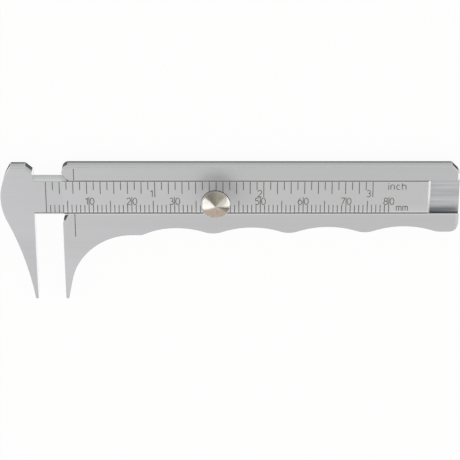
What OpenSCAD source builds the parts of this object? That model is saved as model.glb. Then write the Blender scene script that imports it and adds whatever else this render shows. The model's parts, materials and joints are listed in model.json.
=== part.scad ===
// Caliper with two pointed jaws, a dovetailed slide and a thumb screw.
// It lies on its back: X runs along the slide, Y up the face and Z out of the face.
// Pieces are drawn from the fixed measuring face and the middle of the slide,
// and are then moved so that the origin lies under the middle of the whole caliper.

/* [Measuring range] */
// Widest opening of the jaws
measure_range = 80; // [60:1:120]
// Opening of the jaws as drawn
rest_opening = 6.6; // [5:0.1:40]
// Length of slide that stays in the body at the widest opening
guide_l = 12.55; // [12.4:0.05:30]

/* [Body] */
// Thickness of the body and of both jaws
body_t = 4; // [3.4:0.1:6]
// Height of the rail above the groove
upper_rail = 3.4; // [2.6:0.1:6]
// Height of the rail below the groove, beside the jaw
lower_rail = 5.6; // [4.6:0.1:8]
// Length of body that stands past the slide when the jaws are shut
tail_setback = 0.25; // [0.1:0.05:3]
// Radius of the upper corner above the jaw
nose_r = 1.5; // [0.5:0.1:2]
// Cut across the upper corner of the tail
tail_cut = 1.9; // [0.5:0.1:2.4]
// Radius of the lower corner of the tail
tail_r = 2.2; // [0.5:0.1:3]
// Chamfer along the face edge of the tail
tail_edge = 0.65; // [0.1:0.05:0.8]
// Length of the cuts at the mouth of the groove
mouth_l = 1.3; // [0.4:0.1:2]
// Height of the cut above the mouth of the groove
mouth_h = 1.8; // [0.5:0.1:2]
// Height of the cut below the mouth of the groove
mouth_drop = 2.5; // [0.5:0.1:3]

/* [Finger hollows] */
// Number of hollows along the lower rail
hollow_count = 4; // [3:1:5]
// Distance from the jaw's root to the middle of the first hollow
hollow_lead = 10.2; // [10:0.1:14]
// Distance from the jaw's root to the start of the first hollow
hollow_start = 1.9; // [0.5:0.1:3]
// Radius of the edge at the start of the first hollow
start_r = 2; // [1:0.1:4]
// Height of the first hollow above the rail beside the jaw
hollow_rise = 1.8; // [1.5:0.05:2.2]
// Depth of the hollows below their crests
hollow_depth = 1.45; // [1:0.05:1.8]
// Radius of the crests between the hollows
crest_r = 6.3; // [3:0.1:9]
// Rise of the lower edge from one hollow to the next
hollow_lift = 0.16; // [0:0.01:0.3]
// Length of tail past the last crest
tail_l = 4.1; // [3:0.1:8]

/* [Jaws] */
// Reach of the jaws below the slide
jaw_reach = 22.9; // [18:0.1:32]
// Radius of the points
tip_r = 0.35; // [0.2:0.05:0.5]
// Height of the middle of the fixed jaw's hollow above its point
tip_l = 2.5; // [1.5:0.1:4]
// Width of the fixed jaw at the middle of its hollow
tip_w = 1.45; // [1.2:0.05:2.5]
// Thickness of the points
tip_t = 2.7; // [1.5:0.1:3]
// Distance below the rail at which the jaws begin to thin
thin_start = 1.5; // [1:0.1:5]
// Radius of the curve along which the jaws thin
thin_r = 106; // [105:1:400]
// Width of the moving jaw
jaw_w = 7.8; // [6.5:0.1:10]
// Radius of the moving jaw's round back
back_r = 13.4; // [12:0.1:16]
// Distance of the middle of that round back below the middle of the slide
back_drop = 0.4; // [0:0.1:2]
// Radius of the hollow between the round back and the point
flank_r = 65; // [50:1:120]
// Step from the top of the body down to the top of the moving jaw
jaw_step = 0.25; // [0:0.05:0.5]
// Length of the cut across the moving jaw's inner corner
corner_l = 2; // [0.5:0.1:2.2]
// Height of the cut across the moving jaw's inner corner
corner_h = 1.7; // [0.5:0.1:2]

/* [Slide] */
// Width of the slide's face
slide_w = 8; // [7:0.1:12]
// Thickness of the slide
slide_t = 1.7; // [1.5:0.05:2.2]
// Slope of the dovetail's flanks from upright
flank_a = 30; // [15:1:35]
// Sideways gap at each flank
flank_gap = 0.1; // [0.04:0.01:0.2]
// Gap under the slide
floor_gap = 0.08; // [0.04:0.01:0.15]
// Chamfer along the face edge of the slide's end
slide_edge = 0.55; // [0.1:0.05:0.6]

/* [Thumb screw] */
// Distance of the screw from the moving measuring face
screw_x = 42.4; // [15:0.1:70]
// Diameter of the knob
head_d = 6.9; // [5:0.1:7.6]
// Height of the knob's rim above the slide
head_rise = 4.6; // [3.8:0.1:8]
// Thickness of the rim
rim_h = 0.7; // [0.4:0.05:1.2]
// Height of the cone on top
cone_h = 1.2; // [0.5:0.1:2]
// Diameter of the neck
neck_d = 2.9; // [2.7:0.1:3.4]
// Height of the neck below the cone under the rim
neck_h = 0.45; // [0.2:0.05:1]
// Width of the flat ring under the rim
ring_w = 0.2; // [0.1:0.05:0.4]
// Gap between the neck and the slide
neck_gap = 0.25; // [0.1:0.05:0.6]
// Diameter of the screw's shank
shank_d = 2.5; // [2:0.1:2.6]
// Gap around the shank
shank_gap = 0.03; // [0.01:0.01:0.1]
// Gap between the shank's end and the floor of the groove
shank_lift = 0.15; // [0.05:0.05:0.4]
// Number of serrations around the rim
knurl_count = 48; // [24:1:60]
// Radius of a serration
knurl_r = 0.13; // [0.05:0.01:0.15]

/* [Friction spring] */
// Length of the spring
spring_l = 10; // [6:0.1:10.4]
// Width of the spring
spring_w = 3; // [2:0.1:3.4]
// Thickness of the spring
spring_t = 0.2; // [0.1:0.05:0.3]
// Depth of the spring's pocket in the slide
pocket_depth = 0.6; // [0.5:0.05:0.8]
// Room around the spring in its pocket
pocket_room = 0.2; // [0.1:0.05:0.4]
// Wall between the pocket and the slide's end
pocket_wall = 0.8; // [0.5:0.1:1.2]
// Gap at the spring's belly and ends
spring_gap = 0.02; // [0.01:0.01:0.04]

/* [Stop] */
// Diameter of the stop pin
stop_d = 1.2; // [0.8:0.05:1.3]
// Distance of the stop pin from the fixed measuring face
stop_x = 3.5; // [2.8:0.1:6]
// Distance of the stop pin above the middle of the slide
stop_y = 3.3; // [3:0.05:3.4]
// Height of the stop pin above the floor of the groove
stop_h = 0.7; // [0.5:0.05:0.8]
// Depth of the stop's slot in the slide
slot_depth = 0.9; // [0.85:0.05:1]
// Room beside the stop pin in its slot
slot_room = 0.1; // [0.05:0.01:0.2]

/* [Marks] */
// Width of the engraved lines
mark_w = 0.19; // [0.08:0.01:0.2]
// Depth of the engraved lines
mark_depth = 0.12; // [0.06:0.01:0.2]
// Depth of the filling below the face
fill_drop = 0.02; // [0.01:0.01:0.05]
// Distance of the lines from the slide's edges
mark_edge = 0.15; // [0.05:0.01:0.2]
// Distance of the zero line from the moving measuring face
zero_x = 2.85; // [2:0.05:4]
// Length of a millimetre line
mm_line = 1.9; // [1.2:0.05:2.2]
// Length of a five millimetre line
five_line = 2.95; // [2.3:0.05:3.1]
// Length of a ten millimetre line
ten_line = 3.85; // [3.2:0.05:3.9]
// Length of a sixteenth-inch line
sixteenth_line = 2; // [1.2:0.05:2.2]
// Length of an eighth-inch line
eighth_line = 3; // [2.3:0.05:3.1]
// Length of an inch line
inch_line = 3.85; // [3.2:0.05:3.9]
// Length of the upper reading line on the body
upper_index = 2.9; // [1:0.1:3]
// Length of the lower reading line on the body
lower_index = 5.8; // [2:0.1:6]
// Height of the numbers
numeral_h = 1.85; // [1.2:0.05:1.9]
// Width of the numbers
numeral_w = 1.1; // [0.8:0.05:1.2]
// Distance of the millimetre numbers from the slide's lower edge
mm_numeral_y = 2.05; // [2:0.05:2.2]
// Distance of the inch numbers from the slide's upper edge
inch_numeral_y = 2.15; // [2.1:0.05:2.2]
// Gap between a ten millimetre line and the digits beside it
mm_numeral_gap = 0.08; // [0.04:0.01:0.1]
// Gap between an inch line and the number beside it
inch_numeral_gap = 0.3; // [0.1:0.01:0.35]
// Height of the tall letters of the unit words
letter_h = 1.55; // [1:0.05:1.7]
// Length of slide from the start of the inch word to its end
inch_word_l = 9.85; // [6:0.05:9.9]
// Length of slide from the start of the millimetre word to its end
mm_word_l = 7.9; // [4:0.05:7.95]
// Distance of the inch word from the slide's upper edge
inch_word_y = 0.4; // [0.3:0.05:0.6]
// Distance of the millimetre word from the slide's lower edge
mm_word_y = 0.5; // [0.3:0.05:0.8]

/* [Hidden] */

steel = [0.76, 0.76, 0.77];
knob_steel = [0.78, 0.74, 0.7];
spring_steel = [0.45, 0.46, 0.5];
paint = [0.24, 0.23, 0.2];

$fn = 96;
// Facets of a whole circle of which only a short arc is left
wide_fn = 720;
// Angle between two points of an arc
arc_step = 3;
// Length by which cuts run past a face
over = 1;
inch = 25.4;

// Lengths
slide_l = measure_range + guide_l;
body_l = slide_l + tail_setback;

// Heights of the groove and of the slide
groove_half = slide_w / 2 + flank_gap;
slide_z = body_t - slide_t;
floor_z = slide_z - floor_gap;

// Levels of the body's outline
top_y = groove_half + upper_rail;
rail_y = -groove_half - lower_rail;
tip_y = -slide_w / 2 - jaw_reach;

// Fixed jaw
sweep_r = rail_y - tip_y - tip_l;
root_x = tip_w + sweep_r;

// Finger hollows: arcs of two radii that run into each other
hollow_x = root_x + hollow_lead;
hollow_y = rail_y + hollow_rise;
hollow_pitch = (body_l - tail_l - hollow_x) / (hollow_count - 0.5);
wave_r = (pow(hollow_pitch / 2, 2) + pow(hollow_depth, 2)) / (2 * hollow_depth);
hollow_r = wave_r - crest_r;
wave_a = asin(hollow_pitch / 2 / wave_r);
lead_w = hollow_lead - hollow_start;
lead_r = (pow(lead_w, 2) + pow(hollow_rise, 2)) / (2 * hollow_rise) - start_r;
lead_a = asin(lead_w / (lead_r + start_r));
crest_y = hollow_y - hollow_depth;
last_crest_y = crest_y + hollow_lift * (hollow_count - 0.5);

// Moving jaw, measured from its own measuring face
jaw_top = top_y - jaw_step;
back_c = [back_r - jaw_w, -back_drop];
moving_tip_c = [-tip_r, tip_y + tip_r];
flank_c = meeting(back_c, back_r + flank_r, moving_tip_c, flank_r + tip_r);

// Knob
head_z = body_t + head_rise;
rim_z = head_z - rim_h;
neck_z = body_t + neck_gap;
shank_z = floor_z + shank_lift;
shank_bevel = shank_d / 10;
seat_r = neck_d / 2 + mark_w;

// Spring
pocket_l = spring_l + 2 * pocket_room;
pocket_w = spring_w + 2 * pocket_room;
spring_x = slide_l - pocket_wall - pocket_l / 2;
belly_z = floor_z + spring_gap;
bow = slide_z + pocket_depth - spring_gap - belly_z - spring_t;
bow_r = (pow(spring_l / 2, 2) + pow(bow, 2)) / (2 * bow);

// Stop slot, in the slide
slot_r = stop_d / 2 + slot_room;
slot_shut = stop_x;
slot_open = stop_x + measure_range;

// Marks
mark_z = body_t - mark_depth;
ten_count = floor(measure_range / 10);
sixteenth_count = 16 * floor(measure_range / inch);
// Numbers keep to their own half of the slide
mm_digit_h = min(numeral_h, slide_w / 2 - mm_numeral_y);
inch_digit_h = min(numeral_h, slide_w / 2 - inch_numeral_y);
digit_w = numeral_w - mark_w;
mm_digit_x = (numeral_w + mark_w) / 2 + mm_numeral_gap;
inch_digit_x = (numeral_w + mark_w) / 2 + inch_numeral_gap;

// Move from the drawing's zero to the origin
frame_shift = [
  (rest_opening + jaw_w - body_l) / 2,
  -(top_y + tip_y) / 2,
  0
];

// Points along an arc about a centre, from one angle to another
function arc(c, r, a, b) =
  let (n = max(2, ceil(abs(b - a) / arc_step)))
  [for (i = [0 : n]) c + r * [cos(a + (b - a) * i / n), sin(a + (b - a) * i / n)]];

// The left-hand point where two circles meet
function meeting(c, r, d, s) =
  let (
    e = (d - c) / norm(d - c),
    along = (r * r - s * s + pow(norm(d - c), 2)) / (2 * norm(d - c)),
    aside = sqrt(r * r - along * along)
  )
  c + along * e + aside * [e.y, -e.x];

function bearing(from, to) = atan2(to.y - from.y, to.x - from.x);

// The lower edge climbs a little towards the tail
function lifted(p) =
  [for (q = p) q + [0, hollow_lift * max(0, (q.x - hollow_x) / hollow_pitch)]];

// The first hollow starts more steeply, from a rounded edge
function first_half() =
  joined([
    arc([root_x + hollow_start, rail_y + start_r], start_r, 270, 270 + lead_a),
    arc([hollow_x, hollow_y - lead_r], lead_r, 90 + lead_a, 90)
  ]);

function hollow_arc(i) =
  arc(
    [hollow_x + i * hollow_pitch, hollow_y - hollow_r],
    hollow_r,
    i == 0 ? 90 : 90 + wave_a,
    90 - wave_a
  );

function crest_arc(i) =
  arc(
    [hollow_x + (i + 0.5) * hollow_pitch, crest_y + crest_r],
    crest_r,
    270 - wave_a,
    i == hollow_count - 1 ? 270 : 270 + wave_a
  );

// Runs of points put end to end, where each run starts at the last one's end
function joined(runs) =
  [for (i = [0 : len(runs) - 1]) for (j = [i == 0 ? 0 : 1 : len(runs[i]) - 1]) runs[i][j]];

function body_outline() =
  let (
    tip_c = [tip_r, tip_y + tip_r],
    sweep_c = [root_x, rail_y - sweep_r],
    slope = bearing(tip_c, sweep_c) + asin((sweep_r + tip_r) / norm(sweep_c - tip_c))
  )
  concat(
    arc(tip_c, tip_r, 180, 270 + slope),
    arc(sweep_c, sweep_r, 90 + slope, 90),
    lifted(joined([first_half(), for (i = [0 : hollow_count - 1]) each [hollow_arc(i), crest_arc(i)]])),
    arc([body_l - tail_r, last_crest_y + tail_r], tail_r, 270, 360),
    [[body_l, top_y - tail_cut], [body_l - tail_cut, top_y]],
    arc([nose_r, top_y - nose_r], nose_r, 90, 180),
    [[0, groove_half + mouth_h], [mouth_l, groove_half]],
    [[mouth_l, -groove_half], [0, -groove_half - mouth_drop]]
  );

function jaw_outline() =
  let (
    top_a = 180 - asin((jaw_top - back_c.y) / back_r),
    turn_a = 360 + bearing(back_c, flank_c),
    tip_a = bearing(flank_c, moving_tip_c)
  )
  concat(
    [[0, jaw_top - corner_h], [-corner_l, jaw_top]],
    joined([
      arc(back_c, back_r, top_a, turn_a),
      arc(flank_c, flank_r, turn_a - 180, tip_a),
      arc(moving_tip_c, tip_r, tip_a + 180, 360)
    ])
  );

// The slide's dovetailed bar, which starts inside its jaw
module dovetail_bar() {
  half = slide_w / 2;
  spread = slide_t * tan(flank_a);
  translate([-jaw_w / 2, 0, 0])
    rotate([90, 0, 90])
      linear_extrude(slide_l + jaw_w / 2)
        polygon([
          [-half - spread, slide_z],
          [half + spread, slide_z],
          [half, body_t],
          [-half, body_t]
        ]);
}

// The dovetail cut in the body, open through the face
module dovetail_groove() {
  depth = slide_t + floor_gap;
  spread = depth * tan(flank_a);
  translate([-over, 0, 0])
    rotate([90, 0, 90])
      linear_extrude(body_l + 2 * over)
        polygon([
          [-groove_half - spread, floor_z],
          [groove_half + spread, floor_z],
          [groove_half, body_t],
          [groove_half, body_t + over],
          [-groove_half, body_t + over],
          [-groove_half, body_t]
        ]);
}

// What is ground off the faces of both jaws
module thinning() {
  a = [rail_y - thin_start, body_t];
  b = [tip_y, tip_t];
  half = norm(b - a) / 2;
  down = [a.y - b.y, b.x - a.x] / norm(b - a);
  c = (a + b) / 2 + down * sqrt(thin_r * thin_r - half * half);
  width = root_x + jaw_w + 2 * over;
  difference() {
    translate([-jaw_w - over, tip_y - over, tip_t - over])
      cube([width, a.x - tip_y + 2 * over, body_t - tip_t + 2 * over]);
    translate([-jaw_w - 2 * over, c.x, c.y])
      rotate([0, 90, 0])
        cylinder(r = thin_r, h = width + 2 * over, $fn = wide_fn);
  }
}

// A chamfer of the face edge at an end of a piece
module end_chamfer(x, size, half) {
  translate([x, 0, body_t])
    rotate([0, 45, 0])
      cube([size * sqrt(2), 2 * half, size * sqrt(2)], center = true);
}

module groove() {
  translate([0, 0, mark_z])
    linear_extrude(mark_depth + over)
      children();
}

module filling() {
  color(paint)
    translate([0, 0, mark_z])
      linear_extrude(mark_depth - fill_drop)
        children();
}

// Moves pieces drawn from the moving measuring face to where the slide stands
module on_slide() {
  translate([-rest_opening, 0, 0])
    children();
}

module in_frame() {
  translate(frame_shift)
    children();
}

// Direction of a stroke at one of its points
function heading(p, i, closed) =
  let (
    n = len(p),
    a = closed ? p[(i + n - 1) % n] : p[max(i - 1, 0)],
    b = closed ? p[(i + 1) % n] : p[min(i + 1, n - 1)]
  )
  (b - a) / norm(b - a);

// A stroke's points moved sideways
function beside(p, d, closed) =
  [for (i = [0 : len(p) - 1]) let (h = heading(p, i, closed)) p[i] + d * [h.y, -h.x]];

function reversed(p) = [for (i = [len(p) - 1 : -1 : 0]) p[i]];

module open_stroke(p) {
  polygon(concat(beside(p, mark_w / 2, false), reversed(beside(p, -mark_w / 2, false))));
}

module ring_stroke(p) {
  difference() {
    polygon(beside(p, mark_w / 2, true));
    polygon(beside(p, -mark_w / 2, true));
  }
}

// Points along part of an oval
function oval(c, rx, ry, a, b, n = 14) =
  [for (i = [0 : n]) c + [rx * cos(a + (b - a) * i / n), ry * sin(a + (b - a) * i / n)]];

// Points round a whole oval
function round_oval(c, rx, ry, n = 20) =
  [for (i = [0 : n - 1]) c + [rx * cos(360 * i / n), ry * sin(360 * i / n)]];

six_bowl = round_oval([0.5, 0.31], 0.5, 0.31);
six_stem = oval([1.15, 0.31], 1.15, 0.7, 180, 118, 8);

// Strokes of each number on a unit cell: the open ones first, then the rings
digit_strokes = [
  [[], [round_oval([0.5, 0.5], 0.5, 0.5)]],
  [[[[0.45, 0.76], [0.9, 1]], [[0.9, 1], [0.9, 0]]], []],
  [[concat(oval([0.5, 0.71], 0.48, 0.29, 165, -35), [[0, 0]]), [[0, 0], [1, 0]]], []],
  [[oval([0.46, 0.755], 0.42, 0.245, 145, -90), oval([0.46, 0.255], 0.5, 0.255, 90, -145)], []],
  [[[[0.72, 0], [0.72, 1]], [[0.72, 1], [0, 0.3]], [[0, 0.3], [1, 0.3]]], []],
  [[[[0.12, 1], [0.9, 1]], [[0.14, 1], [0.1, 0.5]], oval([0.46, 0.31], 0.5, 0.31, 138, -145)], []],
  [[six_stem], [six_bowl]],
  [[[[0, 1], [1, 1]], [[1, 1], [0.32, 0]]], []],
  [[], [round_oval([0.5, 0.755], 0.4, 0.245), round_oval([0.5, 0.255], 0.5, 0.255)]],
  [[[for (p = six_stem) [1, 1] - p]], [[for (p = six_bowl) [1, 1] - p]]]
];

function sized(p, w, h) = [for (q = p) [q.x * w, q.y * h]];

module digit(value, x, y, height) {
  h = height - mark_w;
  translate([x - digit_w / 2, y + mark_w / 2]) {
    for (p = digit_strokes[value][0])
      open_stroke(sized(p, digit_w, h));
    for (p = digit_strokes[value][1])
      ring_stroke(sized(p, digit_w, h));
  }
}

// Letters of the unit words, on a cell as tall as a tall letter
low_h = 0.74;
letter_w = 0.55;
m_w = 0.36;
m_step = 0.96;
function leg(x, h) = [[x, 0], [x, h]];
function arch(x, w) =
  concat(oval([x + w / 2, low_h - w / 2], w / 2, w / 2, 170, 0, 8), [[x + w, 0]]);

inch_strokes = [
  leg(0, low_h),
  [[0, 0.9], [0, 1]],
  leg(0.32, low_h),
  arch(0.32, letter_w),
  oval([1.48, low_h / 2], letter_w / 2, low_h / 2, 50, 310),
  leg(2.05, 1),
  arch(2.05, letter_w)
];
mm_strokes = [
  for (x = [0, m_step])
    each [leg(x, low_h), arch(x, m_w), arch(x + m_w, m_w)]
];

module word(strokes, x, y) {
  translate([x, y + mark_w / 2])
    for (p = strokes)
      open_stroke(sized(p, letter_h, letter_h));
}

// A line from an edge of the slide, cut short beside the screw
module edge_line(x, length, side) {
  dx = x - screw_x;
  free = slide_w / 2 - mark_edge - sqrt(max(0, seat_r * seat_r - dx * dx));
  l = min(length, free);
  translate([x - mark_w / 2, side * (slide_w / 2 - mark_edge - l / 2) - l / 2])
    square([mark_w, l]);
}

function line_length(i, short, middle, long, half, whole) =
  i % whole == 0 ? long : i % half == 0 ? middle : short;

module zero_shape() {
  translate([zero_x - mark_w / 2, -slide_w / 2 + mark_edge])
    square([mark_w, slide_w - 2 * mark_edge]);
}

module mm_shapes() {
  for (i = [1 : measure_range])
    edge_line(zero_x + i, line_length(i, mm_line, five_line, ten_line, 5, 10), -1);
}

module inch_shapes() {
  for (i = [1 : sixteenth_count])
    edge_line(
      zero_x + i * inch / 16,
      line_length(i, sixteenth_line, eighth_line, inch_line, 2, 16),
      1
    );
}

function digits_of(n) = n < 10 ? [n] : concat(digits_of(floor(n / 10)), [n % 10]);

// A number has its last digit to the right of its line, and is left out under the screw
module mm_numeral_shapes() {
  y = -slide_w / 2 + mm_numeral_y;
  for (i = [1 : ten_count]) {
    x = zero_x + 10 * i;
    if (abs(x - screw_x) > seat_r + mm_digit_x + numeral_w) {
      left = digits_of(i);
      last = len(left) - 1;
      for (k = [0 : last])
        digit(left[last - k], x - mm_digit_x - k * (numeral_w + mm_numeral_gap), y, mm_digit_h);
      digit(0, x + mm_digit_x, y, mm_digit_h);
    }
  }
}

module inch_numeral_shapes() {
  y = slide_w / 2 - inch_numeral_y - inch_digit_h;
  for (i = [1 : sixteenth_count / 16]) {
    x = zero_x + i * inch;
    digit(i, x - inch_digit_x, y, inch_digit_h);
  }
}

module unit_shapes() {
  word(inch_strokes, slide_l - inch_word_l, slide_w / 2 - inch_word_y - letter_h - mark_w);
  word(mm_strokes, slide_l - mm_word_l, -slide_w / 2 + mm_word_y);
}

module index_shapes() {
  translate([zero_x - mark_w / 2, groove_half + mark_edge])
    square([mark_w, upper_index]);
  translate([zero_x - mark_w / 2, -groove_half - mark_edge - lower_index])
    square([mark_w, lower_index]);
}

module body() {
  color(steel)
    in_frame()
      difference() {
        linear_extrude(body_t)
          polygon(body_outline());
        dovetail_groove();
        thinning();
        end_chamfer(body_l, tail_edge, top_y - tip_y);
        translate([stop_x, stop_y, -over])
          cylinder(d = stop_d, h = floor_z + 2 * over);
        groove()
          index_shapes();
      }
}

module slide() {
  color(steel)
    in_frame()
      on_slide()
        difference() {
          union() {
            linear_extrude(body_t)
              polygon(jaw_outline());
            dovetail_bar();
          }
          thinning();
          end_chamfer(slide_l, slide_edge, slide_w);
          translate([screw_x, 0, slide_z - over])
            cylinder(d = shank_d + 2 * shank_gap, h = slide_t + 2 * over);
          translate([spring_x - pocket_l / 2, -pocket_w / 2, slide_z - over])
            cube([pocket_l, pocket_w, pocket_depth + over]);
          stop_slot();
          groove() {
            zero_shape();
            mm_shapes();
            inch_shapes();
            mm_numeral_shapes();
            inch_numeral_shapes();
            unit_shapes();
          }
        }
}

module stop_slot() {
  depth = slot_depth + over;
  translate([0, stop_y, slide_z - over]) {
    translate([slot_shut, -slot_r, 0])
      cube([slot_open - slot_shut, 2 * slot_r, depth]);
    for (x = [slot_shut, slot_open])
      translate([x, 0, 0])
        cylinder(r = slot_r, h = depth);
  }
}

module thumb_screw() {
  neck_r = neck_d / 2;
  shank_r = shank_d / 2;
  head_r = head_d / 2;
  color(knob_steel)
    in_frame()
      on_slide()
        translate([screw_x, 0, 0])
          difference() {
            rotate_extrude()
              polygon([
                [0, shank_z],
                [shank_r - shank_bevel, shank_z],
                [shank_r, shank_z + shank_bevel],
                [shank_r, neck_z],
                [neck_r, neck_z],
                [neck_r, neck_z + neck_h],
                [head_r - ring_w, rim_z],
                [head_r, rim_z],
                [head_r, head_z],
                [0, head_z + cone_h]
              ]);
            for (i = [0 : knurl_count - 1])
              rotate([0, 0, 360 * i / knurl_count])
                translate([head_r, 0, rim_z - over])
                  cylinder(r = knurl_r, h = rim_h + 2 * over);
          }
}

module friction_spring() {
  color(spring_steel)
    in_frame()
      on_slide()
        intersection() {
          translate([spring_x, 0, belly_z + spring_t + bow_r])
            rotate([90, 0, 0])
              difference() {
                cylinder(r = bow_r + spring_t, h = spring_w, center = true, $fn = wide_fn);
                cylinder(r = bow_r, h = spring_w + 2 * over, center = true, $fn = wide_fn);
              }
          translate([spring_x - spring_l / 2, -spring_w, belly_z - over])
            cube([spring_l, 2 * spring_w, body_t]);
        }
}

module stop_pin() {
  color(spring_steel)
    in_frame()
      translate([stop_x, stop_y, 0])
        cylinder(d = stop_d, h = floor_z + stop_h);
}

module slide_filling() {
  in_frame()
    on_slide()
      filling()
        children();
}

module zero_line() { slide_filling() zero_shape(); }
module mm_graduations() { slide_filling() mm_shapes(); }
module inch_graduations() { slide_filling() inch_shapes(); }
module mm_numerals() { slide_filling() mm_numeral_shapes(); }
module inch_numerals() { slide_filling() inch_numeral_shapes(); }
module unit_marks() { slide_filling() unit_shapes(); }
module index_lines() { in_frame() filling() index_shapes(); }

body();
slide();
thumb_screw();
friction_spring();
stop_pin();
zero_line();
mm_graduations();
inch_graduations();
mm_numerals();
inch_numerals();
unit_marks();
index_lines();
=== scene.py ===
"""Looks of a slide caliper with pointed jaws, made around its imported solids."""

import json
import math

import bmesh
import bpy
from bpy.props import FloatProperty, FloatVectorProperty, IntProperty, PointerProperty
from bpy.types import Operator, Panel, PropertyGroup
from mathutils import Matrix, Vector


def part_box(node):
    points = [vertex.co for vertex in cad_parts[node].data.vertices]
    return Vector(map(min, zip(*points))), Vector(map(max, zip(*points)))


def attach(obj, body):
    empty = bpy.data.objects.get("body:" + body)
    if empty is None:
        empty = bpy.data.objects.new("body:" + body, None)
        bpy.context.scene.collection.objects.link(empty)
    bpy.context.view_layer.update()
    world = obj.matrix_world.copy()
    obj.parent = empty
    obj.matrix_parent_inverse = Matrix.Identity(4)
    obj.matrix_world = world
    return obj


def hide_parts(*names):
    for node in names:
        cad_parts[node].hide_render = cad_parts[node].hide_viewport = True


bl_info = {
    "name": "Slide caliper",
    "version": (1, 0, 0),
    "blender": (4, 5, 0),
    "location": "View3D > Sidebar > Caliper",
    "description": "Builds the finished pieces of a slide caliper around its solids",
    "category": "Object",
}

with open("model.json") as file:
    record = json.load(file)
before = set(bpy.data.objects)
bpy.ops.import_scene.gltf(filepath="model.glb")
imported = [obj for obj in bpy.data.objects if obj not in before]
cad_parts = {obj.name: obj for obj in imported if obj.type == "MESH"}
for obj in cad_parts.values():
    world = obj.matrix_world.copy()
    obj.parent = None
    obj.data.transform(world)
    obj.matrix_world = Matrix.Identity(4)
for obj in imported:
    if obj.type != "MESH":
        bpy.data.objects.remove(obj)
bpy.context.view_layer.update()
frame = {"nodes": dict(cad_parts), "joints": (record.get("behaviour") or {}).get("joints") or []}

MM = 0.001
# The caliper's face, the slide's middle, the screw's middle and the engraving's floor, as the solids have them
FACE_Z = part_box("body")[1].z
SLIDE_Y = sum(corner.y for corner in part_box("zero_line")) / 2
SCREW = sum(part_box("thumb_screw"), Vector()) / 2
MARK_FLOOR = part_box("zero_line")[0].z
# The fixed measuring face, the moving one, which the slide's travel brings to it, and the body's other end
FIXED_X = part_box("body")[0].x
TRAVEL = next(joint for joint in frame["joints"] if joint["name"] == "slide_travel")
JAW_X = FIXED_X + TRAVEL["range_m"][0]
TAIL_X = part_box("body")[1].x
# Half the width of the slide's face and of the groove's mouth
SLIDE_HALF, GROOVE_HALF = 4.0 * MM, 4.1 * MM
# Strip without marks along the edges of both
STRIP = 0.148 * MM
# Distances below the slide's middle: the jaws thin past the first, and past the second there are no marks
JAW_START, MARKS_END = 11 * MM, 11.3 * MM
# Edges nearer than this to the screw's axis belong to its hole
SCREW_HOLE = 1.4 * MM
# Broken edges below this height run round the back
BACK_EDGE = 0.3 * MM
# Areas: many-sided faces past the first are flat, and the groove's floor is past the second
WIDE_AREA, FLOOR_AREA = 20 * MM * MM, 100 * MM * MM
MARKS = (
    "zero_line", "mm_graduations", "inch_graduations", "mm_numerals", "inch_numerals", "unit_marks", "index_lines",
)
# Points closer than the first are one point, and closer than the second they are level
MERGE, LEVEL = 0.001 * MM, 0.01 * MM
# Room left between the measuring faces when the jaws are shut
SHUT_GAP = 0.01 * MM
# Material index that marks a jaw's thinned face while it is cut into strips
JAW_TAG = 99


class SteelFinish(PropertyGroup):
    """Ground steel of the body and the slide."""

    colour: FloatVectorProperty(
        name="Steel", description="Colour of the ground faces", subtype="COLOR", default=(0.59, 0.608, 0.638)
    )
    roughness: FloatProperty(
        name="Roughness", description="Roughness of the ground faces", subtype="FACTOR", default=0.43, min=0, max=1
    )
    edge_break: FloatProperty(
        name="Edge break", description="Width of the broken edges of the body and the jaws",
        unit="LENGTH", default=0.07 * MM, min=0.02 * MM, max=0.2 * MM, precision=6
    )
    slide_break: FloatProperty(
        name="Slide edge break", description="Width of the broken edges along the slide",
        unit="LENGTH", default=0.135 * MM, min=0.02 * MM, max=0.14 * MM, precision=6
    )
    grain: FloatProperty(
        name="Grain", description="Width of the grinding lines", unit="LENGTH", default=0.25 * MM, precision=6
    )


class ScrewFinish(PropertyGroup):
    """Turned thumb screw."""

    colour: FloatVectorProperty(
        name="Screw", description="Colour of the turned screw", subtype="COLOR", default=(0.62, 0.6, 0.575)
    )
    roughness: FloatProperty(
        name="Roughness", description="Roughness of the turned cone", subtype="FACTOR", default=0.16, min=0, max=1
    )
    fullness: FloatProperty(
        name="Fullness", description="How much the cone bulges", subtype="FACTOR", default=0.15, min=0, max=0.4
    )
    teeth: IntProperty(name="Teeth", description="Number of teeth round the rim", default=48, min=24, max=96)
    tooth_depth: FloatProperty(
        name="Tooth depth", description="Depth of the teeth", unit="LENGTH", default=0.16 * MM, precision=6
    )


class MarkFinish(PropertyGroup):
    """Dark filling of the engraved lines and numbers."""

    colour: FloatVectorProperty(
        name="Filling", description="Colour of the filling", subtype="COLOR", default=(0.15, 0.137, 0.112)
    )


class StageLook(PropertyGroup):
    """Floor, lamps and camera."""

    floor: FloatVectorProperty(
        name="Floor", description="Colour of the floor", subtype="COLOR", default=(0.95, 0.95, 0.95)
    )
    tilt: FloatProperty(
        name="Tilt", description="Angle of the view from upright", subtype="ANGLE", default=math.radians(24)
    )
    distance: FloatProperty(
        name="Distance", description="Distance of the camera from the face", unit="LENGTH", default=0.45064
    )
    lens: FloatProperty(name="Lens", description="Focal length in millimetres", default=150.1)


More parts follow.
